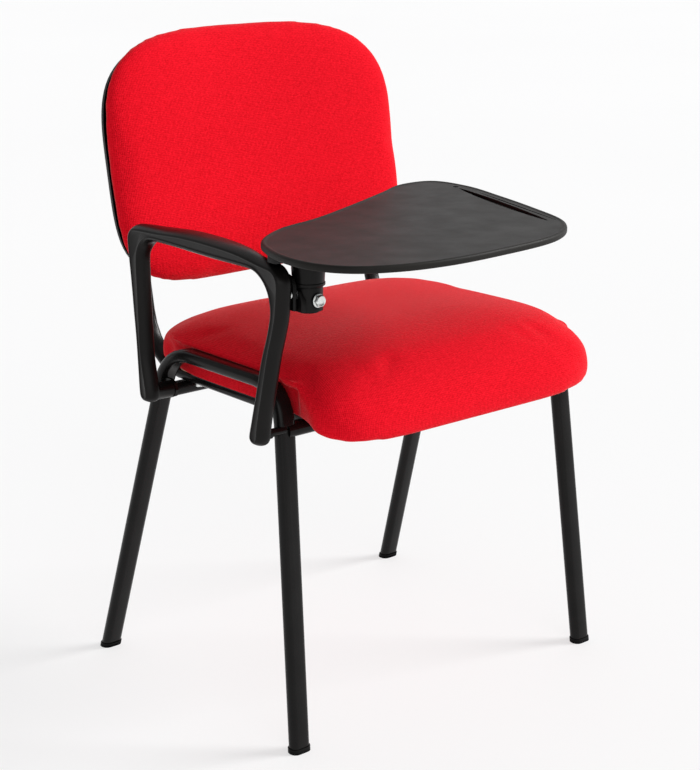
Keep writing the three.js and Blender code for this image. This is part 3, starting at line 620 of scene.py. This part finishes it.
REARWARD = Vector((0, 1, -LEAN)).normalized()
SCREW_ACROSS, SCREW_UP = 110.0, 84.0
screw_wells = []
for side in (-1, 1):
    for level in (-1, 1):
        board = np.array([[side * SCREW_ACROSS, 0.0, level * SCREW_UP]])
        spot = Vector(back_points(board)[0])
        screw_wells.append(cylinder("well", spot + REARWARD * 0.009, spot + REARWARD * 0.06, 0.0046))
carve(pan, [upright_room(-1), upright_room(1), *screw_wells])
finish_piece(pan, "chair", "shell_plastic", "back_shell")
shade(pan)

# ------------------------------------------------------------------ armrest


def arc(y, z, radius, start, end, steps=9):
    """Points of an arc in the armrest's own plane, angles in degrees from +Y."""
    turn = np.radians(np.linspace(start, end, steps))
    return [(y + radius * math.cos(t), z + radius * math.sin(t)) for t in turn]


ARM_OUTLINE = [
    *arc(59, 392.5, 12.5, -165, -15),
    (73.5, 425), (75.5, 460), (78.6, 493), (82, 530), (86, 566),
    *arc(68.5, 584, 19, 0, 75, 6),
    (20, 605.5), (-30, 608.5), (-90, 608.5), (-140, 606), (-176, 601),
    *arc(-194, 576, 23, 88, 170, 8),
    (-213.5, 540), (-207, 516), (-199, 491), (-187, 442), (-178, 404),
    *arc(-163.5, 391.5, 12.5, -172, -15),
    (-157, 412), (-165, 442), (-178, 491), (-187, 516), (-194, 544),
    *arc(-157, 548, 36.5, 172, 98, 8),
    (-80, 585), (0, 586.5),
    *arc(34, 561, 25, 88, 6, 7),
    (58.5, 520), (57.5, 480), (56, 440),
]
ARM_OUTER, ARM_INNER = -279.0, -258.5
# how far the skin lies inside the outline, across the arm: a sunk side, a ridge and a crowned top
ARM_SECTION = [
    (0.7, 8.1), (0.55, 7.7), (0.05, 7.1), (0.0, 6.3), (0.35, 5.6), (0.5, 5.1), (0.8, 4.6),
    (1.4, 4.1), (2.6, 3.3), (4.4, 2.3), (6.6, 1.3), (9.0, 0.5), (11.5, 0.05), (14.0, 0.0),
    (16.2, 0.5), (18.0, 1.7), (19.4, 3.3), (20.2, 5.2), (20.5, 7.0),
]


def smooth_outline(corners, steps):
    """Evenly spaced points on a closed centripetal Catmull-Rom curve through the corners."""
    points, count, dense = np.array(corners, float), len(corners), []
    for i in range(count):
        p = [points[(i + k - 1) % count] for k in range(4)]
        t = [0.0]
        for a, b in zip(p, p[1:]):
            t.append(t[-1] + np.linalg.norm(b - a) ** 0.5)
        for u in np.linspace(t[1], t[2], 24, endpoint=False):
            a = [(p[k] * (t[k + 1] - u) + p[k + 1] * (u - t[k])) / (t[k + 1] - t[k]) for k in range(3)]
            b = [(a[k] * (t[k + 2] - u) + a[k + 1] * (u - t[k])) / (t[k + 2] - t[k]) for k in range(2)]
            dense.append((b[0] * (t[2] - u) + b[1] * (u - t[1])) / (t[2] - t[1]))
    dense = np.array(dense + dense[:1])
    along = np.concatenate([[0], np.cumsum(np.linalg.norm(np.diff(dense, axis=0), axis=1))])
    at = np.linspace(0, along[-1], steps, endpoint=False)
    return np.column_stack([np.interp(at, along, dense[:, k]) for k in range(2)])


def softened(edge, rounds):
    """A closed outline with each point averaged with its two neighbours, some rounds over."""
    for _ in range(rounds):
        edge = 0.5 * edge + 0.25 * (np.roll(edge, 1, 0) + np.roll(edge, -1, 0))
    return edge


def inward_of(edge):
    """Unit directions into a closed outline that runs anticlockwise."""
    tangent = np.roll(edge, -1, 0) - np.roll(edge, 1, 0)
    tangent /= np.linalg.norm(tangent, axis=1)[:, None]
    return np.column_stack([-tangent[:, 1], tangent[:, 0]])


def armrest():
    edge = softened(smooth_outline(ARM_OUTLINE, 560), 3)
    inward = inward_of(edge)
    rings = []
    for across, inset in ARM_SECTION:
        y, z = (edge + inward * inset).T
        # the top widens towards the sitter
        bulge = np.sin(math.pi * np.clip((y + 165) / 235, 0, 1)) ** 0.8
        widen = 11 * smoothstep(across, 8, 20.5) * bulge * smoothstep(z, 566, 580)
        x = ARM_OUTER + across + widen
        rings.append([place(*p) for p in zip(x, y, z)])
    made = rings_object("arm_loop", rings)
    foot = cylinder("foot", place(ARM_INNER - 6, 59, 392.5), place(-238.4, 59, 392.5), 0.0105)
    return carve(made, [foot], "UNION")


arm = armrest()
finish_piece(arm, "chair", "arm_plastic", "armrest")
shade(arm)

# ------------------------------------------------------------------ writing tablet

SWIVEL = (-233, -210)
UNDER, TOP = 611.5, 620.0
WRITING = TOP - 0.9
OUTLINE = [
    (-34, 42), (-55, 4), (-67, -38), (-66, -88), (-45, -126), (1, -152), (61, -164), (136, -163),
    (232, -151), (278, -128), (311, -92), (340, -18), (366, 66), (386, 150), (377, 207),
    (326, 213), (267, 184), (167, 136), (91, 103), (24, 83),
]

tablet_edge = softened(smooth_outline(OUTLINE, 260), 6)
tablet_inward = inward_of(tablet_edge)


def tablet_ring(inset, z):
    """The tablet's outline moved in by inset, at height z."""
    xy = tablet_edge + tablet_inward * inset
    return [place(SWIVEL[0] + x, SWIVEL[1] + y, z) for x, y in xy]


# from the underside round the edge, over a low lip, and down to the writing surface
PROFILE = [
    (7.0, UNDER), (2.6, UNDER), (1.3, UNDER + 0.3), (0.4, UNDER + 1.0), (0.0, UNDER + 2.2),
    (0.0, TOP - 3.2), (0.25, TOP - 1.9), (0.9, TOP - 0.8), (1.9, TOP - 0.15), (3.0, TOP + 0.1),
    (4.0, TOP), (4.8, TOP - 0.35), (5.6, TOP - 0.75), (6.6, WRITING), (8.0, WRITING),
]
tablet = rings_object("tablet_panel", [tablet_ring(inset, z) for inset, z in PROFILE])

TRAY = ((366, 142), (296, -80))


def groove(start, end, inner, outer, low, high, lean=1.0):
    """A cutter along start to end, about the swivel, that swells by inner and outer to its two
    sides, from height low to high, where it is wider by lean on each side."""
    a, b = Vector(start), Vector(end)
    along = (b - a).normalized()
    out = Vector((-along.y, along.x))
    verts, faces, steps = [], [], 48
    for i in range(steps + 1):
        t = i / steps
        swell = math.sin(math.pi * min(max(t, 0.004), 0.996)) ** 0.7
        for side, reach in ((-1, inner * swell), (1, outer * swell)):
            for z, wider in ((low, 0), (high, lean)):
                x, y = a.lerp(b, t) + out * side * (reach + wider)
                verts.append(place(SWIVEL[0] + x, SWIVEL[1] + y, z))
    for i in range(steps):
        p, q = 4 * i, 4 * (i + 1)
        for u, v in ((0, 1), (1, 3), (3, 2), (2, 0)):
            faces.append((p + u, p + v, q + v, q + u))
    faces += [(0, 2, 3, 1), (4 * steps, 4 * steps + 1, 4 * steps + 3, 4 * steps + 2)]
    made = mesh_object("groove", verts, faces)
    bm = bmesh.new()
    bm.from_mesh(made.data)
    bmesh.ops.recalc_face_normals(bm, faces=bm.faces)
    bm.to_mesh(made.data)
    bm.free()
    return made


# pockets under the tablet, between a rim, ribs, rails, the hub and the bed of the pen tray
RIM = 9.5
pockets = rings_object("pockets", [tablet_ring(RIM, UNDER - 5), tablet_ring(RIM, UNDER + 4.5)])
keep = [
    box_object("rib", place(SWIVEL[0] + x - 1.5, -500, 590), place(SWIVEL[0] + x + 1.5, 200, 630))
    for x in (100, 190, 280)
]
keep += [
    box_object("rail", place(-420, SWIVEL[1] + y - 1.5, 591), place(320, SWIVEL[1] + y + 1.5, 631))
    for y in (-60, 40, 130)
]
keep.append(cylinder("hub", place(*SWIVEL, 589), place(*SWIVEL, 632), 0.068, 96))
keep.append(groove(*TRAY, 11, 13, 590, 640))
carve(pockets, keep)
PLATE_HALF = 32.3
plate_seat = box_object(
    "plate_seat",
    place(SWIVEL[0] - PLATE_HALF, SWIVEL[1] - PLATE_HALF, UNDER - 4),
    place(SWIVEL[0] + PLATE_HALF, SWIVEL[1] + PLATE_HALF, UNDER + 3.2),
)

WELL = (SWIVEL[0] + 370, SWIVEL[1] + 154)
tools = [
    pockets,
    plate_seat,
    groove(*TRAY, 7.5, 4.5, WRITING - 3.6, WRITING + 3, 1.2),
    groove((364, 104), (306, -84), 1.0, 1.0, WRITING - 2.0, WRITING + 3, 0.6),
    cylinder("well", place(*WELL, WRITING - 2.4), place(*WELL, WRITING + 5), 0.0038, 32),
]
carve(tablet, tools)
finish_piece(tablet, "tablet", "tablet_plastic", "tablet_top")
shade(tablet)

# ------------------------------------------------------------------ clamp bolt of the swivel


def clamp_bolt():
    """Hexagon bolt with a turned washer face and a chamfered head, facing the sitter's front."""
    low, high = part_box("lock_bolt")
    centre = Vector(((low.x + high.x) / 2, 0, (low.z + high.z) / 2))
    front = low.y

    def ring(radius, depth, flatness=0.0):
        """A turned ring at flatness 0, and a hexagon at flatness 1."""
        points = []
        for i in range(72):
            t = 2 * math.pi * (i + 0.5) / 72
            sector = (t % (math.pi / 3)) - math.pi / 6
            hexagon = math.cos(math.pi / 6) / math.cos(sector)
            r = radius * (1 + (hexagon - 1) * flatness)
            points.append(Vector((centre.x + r * math.cos(t), front + depth, centre.z + r * math.sin(t))))
        return points

    rings = [
        ring(0.0022, 0.0007),
        ring(0.0046, 0.0005),
        ring(0.0052, 0.0),
        ring(0.0058, 0.0),
        ring(0.0066, 0.0006, 0.8),
        ring(0.0071, 0.0011, 1),
        ring(0.0071, 0.0046, 1),
        ring(0.0073, 0.0047),
        ring(0.0079, 0.0050),
        ring(0.0080, 0.0055),
        ring(0.0079, 0.0060),
        ring(0.0038, 0.0062),
        ring(0.0038, high.y - front),
    ]
    return rings_object("clamp_bolt", rings)


bolt = clamp_bolt()
finish_piece(bolt, "knuckle", "zinc_steel", "lock_bolt")
shade(bolt)

# ------------------------------------------------------------------ studio

corners = [(-30, -30, 0), (30, -30, 0), (30, 60, 0), (-30, 60, 0)]
ground = mesh_object("floor", corners, [(0, 1, 2, 3)])
paper = Surface("studio_paper", (0.33, 0.33, 0.33), 0.85, Emission_Strength=0.6)
paper.set("Emission Color", (1, 1, 1, 1))
paper.set("Specular IOR Level", 0.1)
paper.feed("Base Color", paper.ramp(paper.noise(0.4, 2), 0.3, 0.7, (0.32, 0.32, 0.32), (0.33, 0.33, 0.33)))
ground.data.materials.append(paper.material)

world = bpy.data.worlds.new("studio")
scene.world = world
world.use_nodes = True
make, join = world.node_tree.nodes.new, world.node_tree.links.new
sky = world.node_tree.nodes["Background"]
sky.inputs["Color"].default_value = (0.985, 0.985, 1.0, 1)
# brighter low down behind the chair, where the paper sweeps up
toward = make("ShaderNodeVectorMath")
toward.operation = "DOT_PRODUCT"
toward.inputs[1].default_value = (0.70, 0.69, 0.17)
join(make("ShaderNodeTexCoord").outputs["Generated"], toward.inputs[0])
glow = make("ShaderNodeMapRange")
for socket, value in {1: 0.1, 2: 0.95, 3: 0.37, 4: 0.8}.items():
    glow.inputs[socket].default_value = value
join(toward.outputs["Value"], glow.inputs["Value"])
# the paper behind is seen as pale from every side
shown = make("ShaderNodeMix")
shown.inputs[3].default_value = 0.97
join(make("ShaderNodeLightPath").outputs["Is Camera Ray"], shown.inputs[0])
join(glow.outputs[0], shown.inputs[2])
join(shown.outputs[0], sky.inputs["Strength"])


def direction(azimuth, elevation):
    """The way out from the chair; azimuth 0 is in front of it and 90 on its left."""
    a, e = math.radians(azimuth), math.radians(elevation)
    return Vector((math.sin(a) * math.cos(e), -math.cos(a) * math.cos(e), math.sin(e)))


def soft_sun(name, azimuth, elevation, spread, strength):
    """A distant broad light."""
    light = bpy.data.lights.new(name, "SUN")
    light.angle, light.energy = math.radians(spread), strength
    lamp = bpy.data.objects.new(name, light)
    lamp.rotation_mode = "QUATERNION"
    lamp.rotation_quaternion = (-direction(azimuth, elevation)).to_track_quat("-Z", "Y")
    scene.collection.objects.link(lamp)


soft_sun("key", 62, 26, 26, 3.7)
soft_sun("front_fill", -24, 24, 50, 0.65)
soft_sun("rear_rim", 128, 36, 30, 0.12)

camera_data = bpy.data.cameras.new("camera")
camera_data.lens, camera_data.sensor_width = 83.30, 36
camera_data.clip_end = 200
camera = bpy.data.objects.new("camera", camera_data)
camera.location = place(-1443.2, -1713.0, 1019.0)
camera.rotation_mode = "QUATERNION"
camera.rotation_quaternion = (-direction(-40.214, 16.273)).to_track_quat("-Z", "Y")
scene.collection.objects.link(camera)
scene.camera = camera
scene.view_settings.view_transform = "Standard"
scene.view_settings.look = "None"

bpy.context.view_layer.update()
